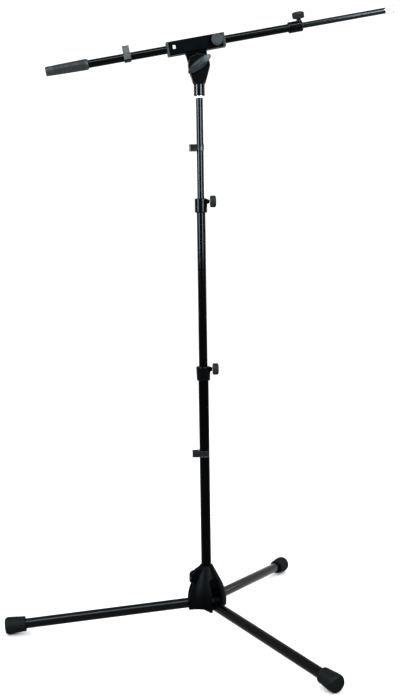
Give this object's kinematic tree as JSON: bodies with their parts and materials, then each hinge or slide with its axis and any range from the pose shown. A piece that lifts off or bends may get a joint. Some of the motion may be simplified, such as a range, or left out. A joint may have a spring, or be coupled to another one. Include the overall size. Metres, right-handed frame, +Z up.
{
  "type": "boom microphone stand",
  "caption": "Floor stand with folding tripod legs, a telescopic pole and a tilting telescopic boom with a counterweight, for holding a microphone.",
  "frame": {"origin": "on the floor, in the middle of the stand's overall width and depth; the pole stands 12.3 mm to the right of it", "axes": "+Z up along the pole, +X along the boom's level direction towards the microphone end, +Y away from the side with the wing grip"},
  "size_m": [0.7818, 0.7086, 1.2178],
  "materials": {
    "hub_enamel": "gloss",
    "blackened_steel": "satin",
    "inner_plastic": "satin",
    "hinge_pin_steel": "satin",
    "fibre": "matt",
    "lower_tube_enamel": "gloss",
    "middle_tube_enamel": "gloss",
    "upper_tube_enamel": "gloss",
    "lower_collar_enamel": "gloss",
    "upper_collar_enamel": "gloss",
    "brass_pad": "satin",
    "knob_plastic": "matt",
    "lock_knob_plastic": "matt",
    "screw_steel": "satin",
    "nickel": "polished",
    "fork_enamel": "gloss",
    "wing_zinc": "satin",
    "housing_enamel": "satin",
    "end_bush_plastic": "satin",
    "badge_film": "gloss",
    "boom_enamel": "gloss",
    "boom_inner_enamel": "gloss",
    "weight_enamel": "satin",
    "boom_collar_enamel": "gloss",
    "adaptor_nickel": "polished",
    "clip_plastic": "satin",
    "boom_clip_plastic": "satin",
    "leg_enamel": "gloss",
    "tongue_steel": "satin",
    "foot_rubber": "matt"
  },
  "bodies": {
    "base": {"leg_hub": "hub_enamel", "tube_lock_screw": "blackened_steel", "pole_end_plug": "inner_plastic", "leg_hinge_pins": "hinge_pin_steel", "leg_friction_washers": "fibre", "lower_tube": "lower_tube_enamel", "lower_collar": "lower_collar_enamel", "lower_clutch_pad": "brass_pad"},
    "lower_clutch": {"lower_clutch_knob": "knob_plastic", "lower_clutch_screw": "screw_steel"},
    "middle": {"middle_tube": "middle_tube_enamel", "middle_guide_bush": "inner_plastic", "upper_collar": "upper_collar_enamel", "upper_clutch_pad": "brass_pad"},
    "upper_clutch": {"upper_clutch_knob": "knob_plastic", "upper_clutch_screw": "screw_steel"},
    "upper": {"upper_tube": "upper_tube_enamel", "upper_guide_bush": "inner_plastic", "top_stud": "nickel"},
    "head": {"swivel_fork": "fork_enamel", "tilt_nut": "nickel", "tilt_washer": "nickel", "tilt_friction_washers": "fibre"},
    "tilt_screw": {"tilt_bolt": "nickel", "wing_grip": "wing_zinc"},
    "clamp": {"clamp_housing": "housing_enamel", "rear_end_bush": "end_bush_plastic", "front_end_bush": "end_bush_plastic", "blank_badge": "badge_film", "boom_lock_pad": "brass_pad"},
    "boom_lock": {"boom_lock_knob": "lock_knob_plastic", "boom_lock_screw": "screw_steel"},
    "boom_outer": {"boom_outer_tube": "boom_enamel", "counterweight": "weight_enamel", "weight_set_screw": "blackened_steel", "boom_end_plug": "inner_plastic", "boom_collar": "boom_collar_enamel", "boom_clutch_pad": "brass_pad"},
    "boom_clutch": {"boom_clutch_knob": "knob_plastic", "boom_clutch_screw": "screw_steel"},
    "boom_inner": {"boom_inner_tube": "boom_inner_enamel", "boom_guide_bush": "inner_plastic", "end_stud": "nickel"},
    "adaptor": {"mic_adaptor": "adaptor_nickel"},
    "lower_clip": {"lower_cable_clip": "clip_plastic"},
    "upper_clip": {"upper_cable_clip": "clip_plastic"},
    "boom_clip": {"boom_cable_clip": "boom_clip_plastic"},
    "leg_left": {"leg_tube_left": "leg_enamel", "leg_tongue_left": "tongue_steel", "foot_cap_left": "foot_rubber"},
    "leg_rear": {"leg_tube_rear": "leg_enamel", "leg_tongue_rear": "tongue_steel", "foot_cap_rear": "foot_rubber"},
    "leg_front": {"leg_tube_front": "leg_enamel", "leg_tongue_front": "tongue_steel", "foot_cap_front": "foot_rubber"}
  },
  "joints": [
    {"name": "fold_leg_left", "type": "hinge", "parent": "base", "child": "leg_left", "pos_m": [-0.0142, 0, 0.061], "axis": [0, 1, 0], "range_deg": [0, 95]},
    {"name": "fold_leg_rear", "type": "hinge", "parent": "base", "child": "leg_rear", "pos_m": [0.02555, 0.02295, 0.061], "axis": [0.866, -0.5, 0], "range_deg": [0, 95]},
    {"name": "fold_leg_front", "type": "hinge", "parent": "base", "child": "leg_front", "pos_m": [0.02555, -0.02295, 0.061], "axis": [-0.866, -0.5, 0], "range_deg": [0, 95]},
    {"name": "turn_lower_clutch", "type": "hinge", "parent": "base", "child": "lower_clutch", "pos_m": [0.0123, 0, 0.522], "axis": [1, 0, 0], "range_deg": [0, 360]},
    {"name": "slide_middle_tube", "type": "slide", "parent": "base", "child": "middle", "axis": [0, 0, 1], "range_m": [-0.296, 0.09]},
    {"name": "turn_upper_clutch", "type": "hinge", "parent": "middle", "child": "upper_clutch", "pos_m": [0.0123, 0, 0.8485], "axis": [1, 0, 0], "range_deg": [0, 360]},
    {"name": "slide_upper_tube", "type": "slide", "parent": "middle", "child": "upper", "axis": [0, 0, 1], "range_m": [-0.085, 0.085]},
    {"name": "swivel_head", "type": "hinge", "parent": "upper", "child": "head", "pos_m": [0.0123, 0, 1.07], "axis": [0, 0, 1], "continuous": true},
    {"name": "tilt_boom", "type": "hinge", "parent": "head", "child": "clamp", "pos_m": [0.0123, 0, 1.106], "axis": [0, -1, 0], "range_deg": [-85, 80]},
    {"name": "turn_wing_grip", "type": "hinge", "parent": "head", "child": "tilt_screw", "pos_m": [0.0123, 0, 1.106], "axis": [0, -1, 0], "range_deg": [0, 360]},
    {"name": "turn_boom_lock", "type": "hinge", "parent": "clamp", "child": "boom_lock", "pos_m": [0.04614, 0, 1.15135], "axis": [0, -1, 0], "range_deg": [0, 360]},
    {"name": "slide_boom", "type": "slide", "parent": "clamp", "child": "boom_outer", "axis": [0.9857, 0, 0.1685], "range_m": [-0.12, 0.065]},
    {"name": "turn_boom_clutch", "type": "hinge", "parent": "boom_outer", "child": "boom_clutch", "pos_m": [0.20583, 0, 1.17865], "axis": [-0.1602, -0.309, 0.9375], "range_deg": [0, 360]},
    {"name": "slide_boom_inner", "type": "slide", "parent": "boom_outer", "child": "boom_inner", "axis": [0.9857, 0, 0.1685], "range_m": [-0.15, 0.1]},
    {"name": "unscrew_adaptor", "type": "hinge", "parent": "boom_inner", "child": "adaptor", "pos_m": [0.38227, 0, 1.2088], "axis": [0.9857, 0, 0.1685], "continuous": true},
    {"name": "slide_lower_clip", "type": "slide", "parent": "base", "child": "lower_clip", "axis": [0, 0, 1], "range_m": [-0.08, 0.03]},
    {"name": "slide_upper_clip", "type": "slide", "parent": "upper", "child": "upper_clip", "axis": [0, 0, 1], "range_m": [0, 0.08]},
    {"name": "slide_boom_clip", "type": "slide", "parent": "boom_outer", "child": "boom_clip", "axis": [0.9857, 0, 0.1685], "range_m": [-0.055, 0]}
  ]
}
